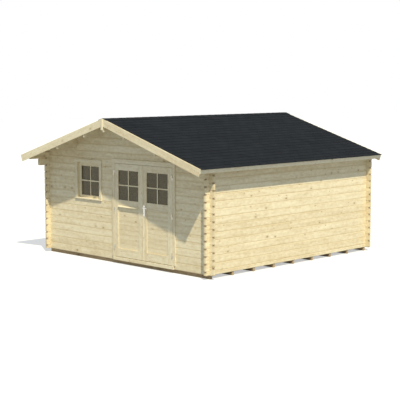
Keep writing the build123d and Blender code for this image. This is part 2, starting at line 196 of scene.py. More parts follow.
def timber_material(name, light, dark, knot, place=grain_attribute, member=member_attribute,
                    knots=1.0, clear=0.80, streaks=1.0, rough=0.62, painted_shading=None):
    """Sawn and planed softwood. place runs along the grain in x; member tells the timbers apart.
    clear is the share of the wood without knots. The last argument may paint shade and light into
    the colour."""
    material, g = material_named(name)
    along, across, deep = g.split(place(g))
    own = member(g)
    shift = g.chance(own, 3.0)
    turn = g.chance(own, 7.0)
    tone = g.chance(own, 11.0)
    run = along + shift * 37.0
    slow = g.noise(g.vector(run * 0.9, across * 3.0, deep * 3.0 + own * 1.7), 1.0, 2.0)
    heart_x = across + (turn - 0.5) * 0.16 + (slow - 0.5) * 0.10
    heart_y = deep + heart_depth + (shift - 0.5) * 0.05 + (slow - 0.5) * 0.05
    # A knot sits in the middle of some cells of a scattered pattern, and the grain bends round it.
    cell = {"Vector": g.vector(run * knot_cells[0], across * knot_cells[1] + own * 5.0, 0.0),
            "Randomness": 0.9, "Scale": 1.0}
    kind = {"voronoi_dimensions": "2D", "feature": "F1"}
    spot = g.node("ShaderNodeTexVoronoi", kind, cell, "Distance")
    pick = g.split(g.node("ShaderNodeTexVoronoi", kind, cell, "Color"))
    present = pick[0].smooth(clear, clear + 0.04) * knots
    size = 0.055 + pick[1] * pick[1] * 0.12
    core = (1.0 - (spot / size).smooth(0.5, 1.15)) * present
    halo = (1.0 - (spot / (size * 3.0)).smooth(0.1, 1.0)) * present
    radius = (heart_x * heart_x + heart_y * heart_y) ** 0.5
    fine = g.noise(g.vector(run * 4.0, across * 90.0, deep * 90.0), 1.0, 3.0, 0.6)
    ring = ((radius + halo * 0.012 + (slow - 0.5) * 0.02) * ring_rate + fine * 1.6).wave()
    late = ring.smooth(0.1, 1.0)
    streak = g.noise(g.vector(run * 0.7, across * 22.0, deep * 22.0 + own * 3.1), 1.0, 4.0, 0.6)
    cloud = g.noise(g.vector(run * 1.6, across * 9.0, deep * 9.0 + own * 2.3), 1.0, 3.0, 0.6)
    mottle = g.noise(g.vector(run * 11.0, across * 20.0, deep * 20.0 + own * 1.3), 1.0, 2.0)
    amount = (late * 0.20 + (streak - 0.5) * streaks + (tone - 0.5) * 0.28
              + (cloud - 0.5) + (mottle - 0.5) * 1.15 + 0.26).clamped()
    base = g.mix(amount, light, dark)
    ringed = g.mix(halo * 0.55, base, dark)
    colour = g.mix(core * (0.28 + pick[2] * 0.4), ringed, knot)
    # Painted shade and painted light, where a wood has them.
    if painted_shading:
        colour = painted_shading(g, colour, along, across, streak)
    height = fine * 0.4 + late * 0.3 - core * 0.4
    surface(g, Base_Color=colour, Roughness=rough + (fine - 0.5) * 0.15,
            Normal=g.bump(height, 0.25, 0.0015), Specular_IOR_Level=0.3)
    return material


treated = timber_material("treated_softwood", shade(190, 165, 128), shade(136, 112, 82),
                          shade(70, 54, 37), knots=0.8, streaks=1.2, rough=0.8)


def centre_of(faces):
    corners = [vertex.co for face in faces for vertex in face.verts]
    low = Vector([min(c[i] for c in corners) for i in range(3)])
    high = Vector([max(c[i] for c in corners) for i in range(3)])
    return (low + high) / 2


def solids_of(mesh):
    """The separate solids of a mesh, each as a list of its faces."""
    left = set(mesh.faces)
    found = []
    while left:
        group = [left.pop()]
        for face in group:
            for edge in face.edges:
                for other in edge.link_faces:
                    if other in left:
                        left.remove(other)
                        group.append(other)
        found.append(group)
    return sorted(found, key=lambda group: tuple(centre_of(group)))


def axes_of(faces):
    """A straight timber's directions: along its longest edge, across, and square to its face."""
    edges = {edge for face in faces for edge in face.edges}
    longest = max(edges, key=lambda edge: round(edge.calc_length(), 5))
    along = (longest.verts[1].co - longest.verts[0].co).normalized()
    flat = [face for face in faces if abs(face.normal.dot(along)) < 0.1]
    widest = max(flat, key=lambda face: round(face.calc_area(), 7))
    deep = widest.normal - along * widest.normal.dot(along)
    deep.normalize()
    return along, deep.cross(along), deep


def lay_grain(mesh, first_member=0):
    """Gives each solid its own grain: x along its longest edge, z square to its widest face."""
    grain = mesh.loops.layers.float_vector.new("grain")
    member = mesh.loops.layers.float.new("member")
    for index, faces in enumerate(solids_of(mesh)):
        axes = axes_of(faces)
        middle = centre_of(faces)
        for face in faces:
            for loop in face.loops:
                offset = loop.vert.co - middle
                loop[grain] = [offset.dot(axis) for axis in axes]
                loop[member] = first_member + index


weld_distance = 0.00002
arris_angle = math.radians(28)
arris = 0.002


def clean_copy(node):
    """A CAD node's mesh as welded faces."""
    mesh = bmesh.new()
    mesh.from_mesh(cad[node].data)
    bmesh.ops.remove_doubles(mesh, verts=mesh.verts, dist=weld_distance)
    bmesh.ops.dissolve_limit(mesh, angle_limit=math.radians(1), verts=mesh.verts,
                             edges=mesh.edges)
    return mesh


def ease(mesh, width):
    """Takes the sharp arrises off."""
    sharp = [edge for edge in mesh.edges
             if len(edge.link_faces) == 2 and edge.calc_face_angle(0) > arris_angle]
    bmesh.ops.bevel(mesh, geom=sharp, offset=width, offset_type="OFFSET", segments=1,
                    profile=0.5, affect="EDGES", clamp_overlap=True)


def fixed(mesh, name, body, material, stands_for=()):
    """Turns a finished mesh into a piece of the object."""
    bmesh.ops.recalc_face_normals(mesh, faces=mesh.faces)
    data = bpy.data.meshes.new(name)
    mesh.to_mesh(data)
    mesh.free()
    data.materials.clear()
    data.materials.append(material)
    made = bpy.data.objects.new(name, data)
    bpy.context.scene.collection.objects.link(made)
    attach(made, body)
    if stands_for:
        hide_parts(*stands_for)
    return made


def eased_timbers(node, name, body, material, first_member, width=arris):
    """The timbers of a CAD node with eased arrises, each with its own grain."""
    mesh = clean_copy(node)
    lay_grain(mesh, first_member)
    ease(mesh, width)
    return fixed(mesh, name, body, material, [node])


eased_timbers("floor_bearers", "bearers", "shed", treated, 0, width=0.003)


# Floor.
# Tongued and grooved spruce floor boards run from front to back over the bearers, nailed
# down between the walls.

class Pattern(Graph):
    """A Geometry Nodes tree for a piece made of many like parts."""

    def __init__(self, name):
        super().__init__(bpy.data.node_groups.new(name, "GeometryNodeTree"))
        self.entry = self.tree.nodes.new("NodeGroupInput")
        self.sockets = {}

    def takes(self, name, kind="Float"):
        """A named input of the tree."""
        made = self.tree.interface.new_socket(name=name, in_out="INPUT",
                                              socket_type=f"NodeSocket{kind}")
        self.sockets[name] = made.identifier
        return Wire(self, self.entry.outputs[name])

    def sum(self, first, second):
        return self.node("ShaderNodeVectorMath", {"operation": "ADD"}, {0: first, 1: second})

    def scaled(self, vector, amount):
        return self.node("ShaderNodeVectorMath", {"operation": "SCALE"},
                         {"Vector": vector, "Scale": amount})

    def index(self):
        return self.node("GeometryNodeInputIndex", {}, {})

    def shaped(self, mesh, place):
        """The mesh with its points moved to a place worked out for each."""
        return self.node("GeometryNodeSetPosition", {}, {"Geometry": mesh, "Position": place})

    def marked(self, mesh, name, kind, value, domain="POINT"):
        """The mesh with a named attribute."""
        return self.node("GeometryNodeStoreNamedAttribute", {"data_type": kind, "domain": domain},
                         {"Geometry": mesh, "Name": name, "Value": value})

    def line(self, count, start, step):
        """A row of points."""
        return self.node("GeometryNodeMeshLine", {"mode": "OFFSET"},
                         {"Count": count, "Start Location": start, "Offset": step})

    def ends(self, mesh):
        """Ends the tree: real faces, laid on the object's own axes, in one material."""
        origin = self.takes("Origin", "Vector")
        ways = [self.takes(name, "Vector") for name in ("Along", "Across", "Up")]
        solid = self.node("GeometryNodeRealizeInstances", {}, {"Geometry": mesh})
        parts = self.split(self.node("GeometryNodeInputPosition", {}, {}))
        place = origin
        for way, part in zip(ways, parts):
            place = self.sum(place, self.scaled(way, part))
        laid = self.shaped(solid, place)
        coated = self.node("GeometryNodeSetMaterial", {},
                           {"Geometry": laid, "Material": self.takes("Material", "Material")})
        self.tree.interface.new_socket(name="Geometry", in_out="OUTPUT",
                                       socket_type="NodeSocketGeometry")
        self.node("NodeGroupOutput", {}, {"Geometry": coated})

    def mesh(self, values, points=()):
        """What the tree makes of its inputs, as a plain mesh."""
        data = bpy.data.meshes.new("pattern")
        data.from_pydata([tuple(point) for point in points], [], [])
        carrier = bpy.data.objects.new("pattern", data)
        bpy.context.scene.collection.objects.link(carrier)
        modifier = carrier.modifiers.new("pattern", "NODES")
        modifier.node_group = self.tree
        for name, value in values.items():
            modifier[self.sockets[name]] = value
        depsgraph = bpy.context.evaluated_depsgraph_get()
        plain = bpy.data.meshes.new_from_object(carrier.evaluated_get(depsgraph),
                                                preserve_all_data_layers=True,
                                                depsgraph=depsgraph)
        carrier.modifiers.clear()
        bpy.data.objects.remove(carrier)
        mesh = bmesh.new()
        mesh.from_mesh(plain)
        bpy.data.meshes.remove(plain)
        return mesh


def boards_side_by_side():
    """Boards with eased arrises: their length along x, one beside another along y."""
    g = Pattern("boards_side_by_side")
    count = g.takes("Count", "Int")
    first = g.takes("First member", "Int")
    pitch, gap, length, thickness, chamfer = [g.takes(name) for name in (
        "Pitch", "Gap", "Length", "Thickness", "Chamfer")]
    block = g.node("GeometryNodeMeshCube", {}, {"Vertices X": 2, "Vertices Y": 4, "Vertices Z": 4})
    x, y, z = g.split(g.node("GeometryNodeInputPosition", {}, {}))
    # The block's outer rows of points reach its faces, the inner rows stop a chamfer short of
    # the next face, and its corner rows lie on the chamfers.
    rim_y = abs(y) > 0.4
    rim_z = abs(z) > 0.4
    corner = rim_y * rim_z * chamfer * 0.5
    half_y = (pitch - gap) * 0.5 - (1.0 - rim_y) * chamfer - corner
    half_z = thickness * 0.5 - (1.0 - rim_z) * chamfer - corner
    place = g.vector(x * length, g.math("SIGN", y) * half_y, g.math("SIGN", z) * half_z)
    grain = g.node("GeometryNodeInputPosition", {}, {})
    board = g.marked(g.shaped(block, place), "grain", "FLOAT_VECTOR", grain)
    row = g.line(count, g.vector(length * 0.5, pitch * 0.5, thickness * 0.5),
                 g.vector(0.0, pitch, 0.0))
    laid = g.node("GeometryNodeInstanceOnPoints", {}, {"Points": row, "Instance": board})
    g.ends(g.marked(laid, "member", "FLOAT", g.index() + first, "INSTANCE"))
    return g


boards = boards_side_by_side()
floor_wood = timber_material("floor_spruce", shade(224, 212, 182), shade(190, 170, 130),
                             shade(120, 90, 60))
floor_low, floor_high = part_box("floor_deck")
floor_board_width = 0.096
floor_board_gap = 0.0006
floor_board_chamfer = 0.0012
floor_board_count = round((floor_high.x - floor_low.x) / floor_board_width)
floor_boarding = boards.mesh({
    "Count": floor_board_count, "First member": 100,
    "Pitch": (floor_high.x - floor_low.x) / floor_board_count, "Gap": floor_board_gap,
    "Length": floor_high.y - floor_low.y, "Thickness": floor_high.z - floor_low.z,
    "Chamfer": floor_board_chamfer, "Origin": floor_low, "Along": (0.0, 1.0, 0.0),
    "Across": (1.0, 0.0, 0.0), "Up": (0.0, 0.0, 1.0), "Material": floor_wood})
fixed(floor_boarding, "floor_boarding", "shed", floor_wood, ["floor_deck"])


# Walls.
# Planed spruce logs 44 mm thick with tongue, groove and V joint, notched over one another at
# the corners. Each log keeps its own colour and knots, and the end grain shows at the corners.
# Painted shade darkens the wood beside the V joints and in the cut corners of the log ends.

log_height = 0.144
log_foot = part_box("front_wall_odd_logs")[0].z
wall_light = shade(240, 229, 197)
wall_dark = shade(207, 187, 146)
# The colour of the wall's knots, and of the painted shade in the log ends' cut corners.
wall_knot_and_cut_shade = shade(128, 98, 66)


def log_course(g, along):
    """How many courses up a place lies. Side walls stand half a course lower."""
    foot = log_foot if along == "x" else log_foot - log_height / 2
    return (g.split(g.place())[2] - foot) / log_height


def log_place(along, face):
    """Grain coordinates for logs along x or y: along the log, up the log, and into it."""

    def coordinates(g):
        x, y = g.split(g.place())[:2]
        course = log_course(g, along)
        up = (course - course.whole() - 0.5) * log_height
        return g.vector(x, up, y - face) if along == "x" else g.vector(y, up, x - face)

    return coordinates


def log_member(along, first):
    """A number for each log of a wall, from first at its foot."""

    def number(g):
        return log_course(g, along).whole() + first

    return number


# Where each painted shade and painted light starts and where it is full, as distances in from an
# edge or an end.
joint_painted_shade = (0.034, 0.008)
joint_painted_light = (0.008, 0.003)
end_cut_along = (0.044, 0.026)
end_cut_across = (0.026, 0.010)
saw_mark = (0.0015, 0.0006)
corbel_start = 0.0004


def towards(edge, distance, band):
    """From 0 to 1 over a band of distances in from an edge."""
    start, full = band
    return distance.smooth(edge - start, edge - full)


def joint_painted_shading(edge):
    """Painted shade towards the V joint at each edge of a face, and painted light inside the
    joint.
    """

    def painted_shading(g, colour, along, across, streak):
        apart = abs(across)
        # Painted shade darkens the wood towards each V joint, and painted light lightens it inside
        # the joint.
        painted_shade = towards(edge, apart, joint_painted_shade) * (0.12 + streak * 0.34)
        pale = towards(edge, apart, joint_painted_light) * 0.35
        return g.mix(pale, g.mix(painted_shade.clamped(), colour, wall_dark), wall_light)

    return painted_shading


def log_painted_shading(tip):
    """The painted shade and painted light of a log's V joints, its darker sawn end grain, and
    painted shade in the cut corners at its ends, tip from the middle.
    A corbel, which runs on past the other logs' tips, has no such end there."""
    edge = log_height / 2
    jointed = joint_painted_shading(edge)

    def painted_shading(g, colour, along, across, streak):
        colour = jointed(g, colour, along, across, streak)
        run_out = abs(along)
        within = 1.0 - (run_out > tip + corbel_start)
        # Painted shade in the notched corners of each log end, where the cut lies in shade.
        cut_painted_shade = towards(tip, run_out, end_cut_along) * towards(edge, abs(across), end_cut_across)
        sawn = towards(tip, run_out, saw_mark)
        colour = g.mix(sawn * within * 0.3, colour, wall_dark)
        return g.mix(cut_painted_shade * within * 0.62, colour, wall_knot_and_cut_shade)

    return painted_shading


def log_wall(wall, along, first):
    """Gives both nodes of one wall the wood of its logs."""
    nodes = [f"{wall}_wall_{parity}_logs" for parity in ("odd", "even")]
    run, thin = ("x", "y") if along == "x" else ("y", "x")
    boxes = [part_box(node) for node in nodes]
    face = (getattr(boxes[0][0], thin) + getattr(boxes[0][1], thin)) / 2
    tip = min(getattr(high, run) for low, high in boxes)
    wood = timber_material(f"{wall}_logs_spruce", wall_light, wall_dark, wall_knot_and_cut_shade,
                           log_place(along, face), log_member(along, first),
                           painted_shading=log_painted_shading(tip))
    for node in nodes:
        cad[node].data.materials.clear()
        cad[node].data.materials.append(wood)


log_wall("front", "x", 0)
log_wall("back", "x", 30)
log_wall("left", "y", 60)
log_wall("right", "y", 90)


# Door frame.
# Jambs, head and threshold of planed spruce line the doorway, with trims nailed over the
# log ends on both faces of the wall.

joinery = timber_material("joinery_spruce", shade(239, 229, 199), shade(207, 187, 146),
                          shade(128, 98, 66), knots=0.7)
for node, name, first in (("door_jambs", "doorway_jambs", 20), ("door_head", "doorway_head", 24),
                          ("door_threshold", "doorway_threshold", 26),
                          ("door_trims", "doorway_trims", 30)):
    eased_timbers(node, name, "shed", joinery, first)


# Window.
# A fixed window of spruce: lining, glued sash with its pane, trims and a sloped sill. A thin
# cross of glazing bars lies on the pane.

def glass_material():
    material, g = material_named("window_pane")
    x, y, z = g.split(g.place())
    # The pane's warm brown is painted shade: it stands in for the dim room seen through the glass.
    # Vertically drawn-out streaks vary its tone, roughness and how much it lets through.
    pane_streaks = g.noise(g.vector(x * 9.0, y * 9.0, z * 1.6), 1.0, 3.0)
    colour = g.mix(pane_streaks, shade(94, 82, 50), shade(122, 108, 70))
    surface(g, Base_Color=colour, Roughness=0.04 + pane_streaks * 0.03, Specular_IOR_Level=0.5,
            Alpha=0.58 + pane_streaks * 0.2)
    return material


pane = glass_material()
timber_numbers = itertools.count(300)


def timber(mesh, low, high, along, width=arris):
    """Adds a straight timber from corner to corner, with its grain along x, y or z."""
    extent = Vector(high) - Vector(low)
    middle = (Vector(low) + Vector(high)) / 2
    piece = bmesh.new()
    bmesh.ops.create_cube(piece, size=1.0)
    for vertex in piece.verts:
        vertex.co = vertex.co * extent
    bmesh.ops.bevel(piece, geom=piece.edges, offset=width, offset_type="OFFSET", segments=1,
                    profile=0.5, affect="EDGES")
    run = "xyz".index(along)
    order = [run] + sorted({0, 1, 2} - {run}, key=lambda i: -extent[i])
    grain = piece.loops.layers.float_vector.new("grain")
    member = piece.loops.layers.float.new("member")
    number = next(timber_numbers)
    for face in piece.faces:
        for loop in face.loops:
            loop[grain] = [loop.vert.co[i] for i in order]
            loop[member] = number
    for vertex in piece.verts:
        vertex.co += middle
    data = bpy.data.meshes.new("timber")
    piece.to_mesh(data)
    piece.free()
    mesh.from_mesh(data)
    bpy.data.meshes.remove(data)


# The hairline between joined timbers.
joint_line = 0.0003


def joined_frame(low, high, stile, rails):
    """Two upright stiles with rails between them, each from one height to another."""
    mesh = bmesh.new()
    for x in (low.x, high.x - stile):
        timber(mesh, (x, low.y, low.z), (x + stile, high.y, high.z), "z")
    left = low.x + stile + joint_line
    right = high.x - stile - joint_line
    for foot, top in rails:
        timber(mesh, (left, low.y, foot), (right, high.y, top), "x")
    return mesh


glazing_bar_width = 0.024
glazing_bar_depth = 0.012
glazing_bar_step = 0.003
glazing_bar_arris = 0.003


def glazing_bars(mesh, low, high):
    """A cross of thin bars on the face of a pane. The one across runs through, in front."""
    half = glazing_bar_width / 2
    x = (low.x + high.x) / 2
    z = (low.z + high.z) / 2
    face = low.y - joint_line
    front = face - glazing_bar_depth
    for foot, top in ((low.z, z - half), (z + half, high.z)):
        timber(mesh, (x - half, front, foot), (x + half, face, top), "z", glazing_bar_arris)
    timber(mesh, (low.x, front - glazing_bar_step, z - half), (high.x, face, z + half), "x",
           glazing_bar_arris)


def opening_of(glass, low, high, stile):
    """The clear light between two stiles: the pane without what its rebates hide."""
    glass_low, glass_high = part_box(glass)
    hidden = ((glass_high.x - glass_low.x) - (high.x - low.x - 2 * stile)) / 2
    inset = Vector((hidden, 0.0, hidden))
    return glass_low + inset, glass_high - inset


def glazed(node):
    """Gives a CAD pane its glass."""
    cad[node].data.materials.clear()
    cad[node].data.materials.append(pane)


lining_thickness = 0.030
window_stile = 0.056
lining_low, lining_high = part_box("window_frame")
lining = joined_frame(lining_low, lining_high, lining_thickness,
                      ((lining_low.z, lining_low.z + lining_thickness),
                       (lining_high.z - lining_thickness, lining_high.z)))
fixed(lining, "window_lining", "shed", joinery, ["window_frame"])
sash_low, sash_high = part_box("window_sash")
light_low, light_high = opening_of("window_glass", sash_low, sash_high, window_stile)
sash = joined_frame(sash_low, sash_high, window_stile,
                    ((sash_low.z, light_low.z), (light_high.z, sash_high.z)))
glazing_bars(sash, light_low, light_high)
fixed(sash, "window_sash_joinery", "shed", joinery, ["window_sash"])
glazed("window_glass")
eased_timbers("window_trims", "window_surround", "shed", joinery, 40)
eased_timbers("window_sill", "window_sill_board", "shed", joinery, 44)


# Roof timbers.
# Four purlins and a ridge beam of planed spruce rest in slots of the gable logs and reach
# out under the roof at the front and a little at the back.

eased_timbers("purlins", "roof_purlins", "shed", joinery, 50)
eased_timbers("ridge_beam", "ridge_timber", "shed", joinery, 56)


# Roof boards.
# Tongued and grooved spruce boards run from the ridge down to the eaves, nailed across the
# purlins, with their V joints to the room and to the overhangs.

roof_wood = timber_material("roof_spruce", shade(236, 223, 190), shade(192, 172, 130),
                            shade(124, 92, 60))
roof_face = max(cad["roof_boards_right"].data.polygons, key=lambda face: face.area)
slope = math.acos(abs(roof_face.normal.z))
roof_board_width = 0.0955
roof_board_thickness = 0.018
roof_board_gap = 0.0004
roof_board_chamfer = 0.003
roof_board_members = {-1: 170, 1: 235}


def roof_ways(side):
    """The directions down a roof slope, along the ridge and square off the slope."""
    down = (side * math.cos(slope), 0.0, -math.sin(slope))
    return down, (0.0, 1.0, 0.0), (side * math.sin(slope), 0.0, math.cos(slope))


def roof_boarding(side, name):
    """The boards of one slope, cut plumb where the two slopes meet."""
    node = f"roof_boards_{name}"
    low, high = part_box(node)
    count = round((high.y - low.y) / roof_board_width)
    down, along_ridge = roof_ways(side)[:2]
    reach = max(-low.x, high.x) - roof_board_thickness * math.sin(slope)
    rise = 1 / math.cos(slope)
    mesh = boards.mesh({
        "Count": count, "First member": roof_board_members[side],
        "Pitch": (high.y - low.y) / count, "Gap": roof_board_gap,
        "Length": reach / math.cos(slope), "Thickness": roof_board_thickness,
        "Chamfer": roof_board_chamfer,
        "Origin": (0.0, low.y, high.z - roof_board_thickness * rise), "Along": down,
        "Across": along_ridge, "Up": (0.0, 0.0, rise), "Material": roof_wood})
    fixed(mesh, f"roof_boarding_{name}", "shed", roof_wood, [node])


roof_boarding(-1, "left")
roof_boarding(1, "right")


# Edge boards.
# Bargeboards of planed spruce close both gable ends, with a short cover over the joint at
# the apex, and fascias close the eaves.

edge_wood = timber_material("edge_spruce", shade(239, 229, 199), shade(206, 186, 146),
                            shade(124, 90, 58), clear=0.62)
for node, name, first in (("front_bargeboards", "bargeboards_front", 60),
                          ("back_bargeboards", "bargeboards_back", 64),
                          ("apex_covers", "apex_strips", 68), ("eave_fascias", "fascias", 72)):
    eased_timbers(node, name, "shed", edge_wood, first)


# Shingles.
# Bitumen shingles with mineral granules, nailed in courses from the eaves up. Each course
# shows its tabs, whose butts stand a little proud of the course below.

def shingle_material():
    material, g = material_named("bitumen_shingle")
    grit = g.noise(g.place(), 420.0, 2.0, 0.7)
    patch = g.noise(g.place(), 3.0, 3.0)
    tone = g.chance(member_attribute(g), 5.0)
    amount = (grit * 0.7 + tone * 0.3 + (patch - 0.5) * 0.4).clamped()
    surface(g, Base_Color=g.mix(amount, shade(19, 22, 27), shade(37, 41, 46)), Roughness=0.95,
            Normal=g.bump(grit, 0.6, 0.002), Specular_IOR_Level=0.06)
    return material


shingle = shingle_material()
shingle_exposure = 0.143
shingle_tab = 0.25
shingle_slot = 0.006
shingle_butt = 0.0045
shingle_head = 0.0004
shingle_sunk = 0.001


def shingle_tabs():
    """Tabs in courses down x, cut short at both ends of each second course."""
    g = Pattern("shingle_tabs")
    courses = g.takes("Courses", "Int")
    tabs = g.takes("Tabs", "Int")
    first = g.takes("First member", "Int")
    seed = g.takes("Seed", "Int")
    exposure, run, cut, butt = [g.takes(name) for name in ("Exposure", "Run", "Cut", "Butt")]
    block = g.node("GeometryNodeMeshCube", {}, {"Vertices X": 2, "Vertices Y": 2, "Vertices Z": 2})
    x, y, z = g.split(g.node("GeometryNodeInputPosition", {}, {}))
    top = (z + 0.5) * (shingle_head + (x + 0.5) * butt)
    tab = g.shaped(block, g.vector((x + 0.5) * exposure, y, top - (0.5 - z) * shingle_sunk))
    columns = tabs + 1
    course = (g.index() / columns).whole()
    column = g.index() - course * columns
    width = run / tabs
    odd = course - (course * 0.5).whole() * 2
    left = g.math("MAXIMUM", (column - odd * 0.5) * width, 0.0)
    right = g.math("MINIMUM", (column - odd * 0.5 + 1.0) * width, run)
    shown = right - left
    loose = g.node("FunctionNodeRandomValue", {"data_type": "FLOAT"},
                   {2: 0.85, 3: 1.15, "Seed": seed}, 1)
    points = g.shaped(g.line(columns * courses, (0.0, 0.0, 0.0), (0.0, 0.0, 0.0)),
                      g.vector(course * exposure, (left + right) * 0.5, 0.0))
    laid = g.node("GeometryNodeInstanceOnPoints", {},
                  {"Points": points, "Selection": shown > width * 0.1, "Instance": tab,
                   "Scale": g.vector(1.0, shown - cut, loose)})
    g.ends(g.marked(laid, "member", "FLOAT", g.index() + first, "INSTANCE"))
    return g


tabs_in_courses = shingle_tabs()


def shingling(side, name):
    """The felt of one slope, and its tabs laid on it."""
    node = f"shingles_{name}"
    cad[node].data.materials.clear()
    cad[node].data.materials.append(shingle)
    low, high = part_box(node)
    down, along_ridge, off = roof_ways(side)
    length = max(-low.x, high.x) / math.cos(slope)
    courses = round(length / shingle_exposure)
    mesh = tabs_in_courses.mesh({
        "Courses": courses, "Tabs": round((high.y - low.y) / shingle_tab),
        "First member": 0, "Seed": 5 + side, "Exposure": length / courses,
        "Run": high.y - low.y, "Cut": shingle_slot, "Butt": shingle_butt,
        "Origin": (0.0, low.y, high.z), "Along": down, "Across": along_ridge, "Up": off,
        "Material": shingle})
    fixed(mesh, f"shingle_tabs_{name}", "shed", shingle)


shingling(-1, "left")
shingling(1, "right")


# Ridge.
# Pieces of bitumen shingle folded over the ridge and nailed down on both slopes, each
# overlapping the next towards the front.

def folds_in_row():
    """Pieces folded along x = 0, one after another along y, each lying on the next."""
    g = Pattern("ridge_folds")
    count = g.takes("Count", "Int")
    pitch, lap, reach, fall, thickness = [g.takes(name) for name in (
        "Pitch", "Lap", "Reach", "Fall", "Thickness")]
    block = g.node("GeometryNodeMeshCube", {}, {"Vertices X": 3, "Vertices Y": 2, "Vertices Z": 2})
    x, y, z = g.split(g.node("GeometryNodeInputPosition", {}, {}))
    length = pitch + lap
    height = (z + 0.5) * thickness - abs(x) * 2.0 * reach * fall + (0.5 - y) * thickness
    fold = g.shaped(block, g.vector(x * 2.0 * reach, (y + 0.5) * length, height))
    row = g.line(count, (0.0, 0.0, 0.0), g.vector(0.0, pitch, 0.0))
    folds = g.node("GeometryNodeInstanceOnPoints", {}, {"Points": row, "Instance": fold})
    g.ends(g.marked(folds, "member", "FLOAT", g.index() + first_fold, "INSTANCE"))
    return g


first_fold = 500
cap_low, cap_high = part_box("ridge_cap")
fold_count = 26
fold_lap = 0.06
fold_thickness = 0.003
ridge_folds = folds_in_row().mesh({
    "Count": fold_count, "Pitch": (cap_high.y - cap_low.y - fold_lap) / fold_count,
    "Lap": fold_lap, "Reach": cap_high.x, "Fall": math.tan(slope), "Thickness": fold_thickness,
    "Origin": (0.0, cap_low.y, cap_high.z - fold_thickness), "Along": (1.0, 0.0, 0.0),
    "Across": (0.0, 1.0, 0.0), "Up": (0.0, 0.0, 1.0), "Material": shingle})
fixed(ridge_folds, "ridge_folds", "shed", shingle, ["ridge_cap"])


# Door leaves.
# Framed spruce leaves with boards across the lower field, and glass above with a thin cross
# of glazing bars. A dark brush strip under each closes the gap over the threshold.

leaf_stile = 0.117
panel_board_width = 0.094
panel_board_gap = 0.0004
panel_board_chamfer = 0.004
brush_depth = 0.004
brush_thickness = 0.006
brush_inset = 0.002
brush_arris = 0.0005


def brush_material():
    material, g = material_named("brush_strip")
    hair = g.noise(g.place(), 900.0, 2.0)
    surface(g, Base_Color=g.mix(hair, shade(30, 28, 26), shade(52, 49, 45)), Roughness=0.9)
    return material


brush = brush_material()


panel_foot, panel_top = opening_of("left_door_panel", *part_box("left_door_frame"), leaf_stile)
panel_count = round((panel_top.z - panel_foot.z) / panel_board_width)
panel_pitch = (panel_top.z - panel_foot.z) / panel_count
# The panel boards carry the same painted shade beside their V joints and painted light inside
# them.
panel_wood = timber_material("panel_spruce", wall_light, wall_dark, wall_knot_and_cut_shade,
                             painted_shading=joint_painted_shading(panel_pitch / 2))


def door_leaf(name, first):
    """One leaf's frame and bars, panel boards, pane, drip board and brush strip."""
    body = f"{name}_door"
    low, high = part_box(f"{name}_door_frame")
    light_low, light_high = opening_of(f"{name}_door_glass", low, high, leaf_stile)
    field_low, field_high = opening_of(f"{name}_door_panel", low, high, leaf_stile)
    leaf = joined_frame(low, high, leaf_stile, ((low.z, field_low.z), (field_high.z, light_low.z),
                                                (light_high.z, high.z)))
    glazing_bars(leaf, light_low, light_high)
    fixed(leaf, f"{name}_leaf_joinery", body, joinery, [f"{name}_door_frame"])
    panel_low, panel_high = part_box(f"{name}_door_panel")
    panel = boards.mesh({
        "Count": panel_count, "First member": first, "Pitch": panel_pitch,
        "Gap": panel_board_gap, "Length": panel_high.x - panel_low.x,
        "Thickness": panel_high.y - panel_low.y, "Chamfer": panel_board_chamfer,
        "Origin": (panel_low.x, panel_low.y, field_low.z),
        "Along": (1.0, 0.0, 0.0), "Across": (0.0, 0.0, 1.0), "Up": (0.0, 1.0, 0.0),
        "Material": panel_wood})
    fixed(panel, f"{name}_leaf_boards", body, panel_wood, [f"{name}_door_panel"])
    glazed(f"{name}_door_glass")
    eased_timbers(f"{name}_door_drip_rail", f"{name}_drip_board", body, joinery,
                  first + 20)
    strip = bmesh.new()
    front = low.y + brush_inset
    timber(strip, (low.x, front, low.z - brush_depth),
           (high.x, front + brush_thickness, low.z + joint_line), "x", brush_arris)
    fixed(strip, f"{name}_brush_strip", body, brush)


door_leaf("left", 400)
door_leaf("right", 440)
eased_timbers("meeting_batten", "meeting_strip", "right_door", joinery, 90)


# Fittings.
# Zinc-plated lift-off hinges screwed to the leaves and the trims, long back plates and a
# round lever of satin steel on the right leaf. Its keyhole lies under the lever.

def metal_material(name, colour, rough):
    material, g = material_named(name)
    blotch = g.noise(g.place(), 60.0, 3.0)
    x, y, z = g.split(g.place())
    brushed = g.noise(g.vector(x * 40.0, y * 40.0, z * 900.0), 1.0, 2.0)
    surface(g, Base_Color=g.mix(blotch * 0.3, colour, shade(150, 150, 148)), Metallic=1.0,
            Roughness=rough + (brushed - 0.5) * 0.16)
    return material


zinc = metal_material("zinc_plate", shade(212, 208, 196), 0.46)
satin = metal_material("satin_steel", shade(236, 235, 231), 0.3)


def smoothed(made):
    """Shades round metal smooth and keeps its edges."""
    for face in made.data.polygons:
        face.use_smooth = True
    made.data.set_sharp_from_angle(angle=math.radians(32))


def fitting(node, name, body, material, width):
    """A CAD node of metal with its edges taken off."""
    mesh = clean_copy(node)
    ease(mesh, width)
    smoothed(fixed(mesh, name, body, material, [node]))


hinge_edge = 0.0006
plate_edge = 0.001
fitting("frame_hinges", "hinges_on_frame", "shed", zinc, hinge_edge)
fitting("left_door_hinges", "hinges_on_left_leaf", "left_door", zinc, hinge_edge)
fitting("right_door_hinges", "hinges_on_right_leaf", "right_door", zinc, hinge_edge)
fitting("handle_plates", "back_plates", "right_door", satin, plate_edge)
fitting("door_lever", "lever_set", "door_lever", satin, plate_edge)


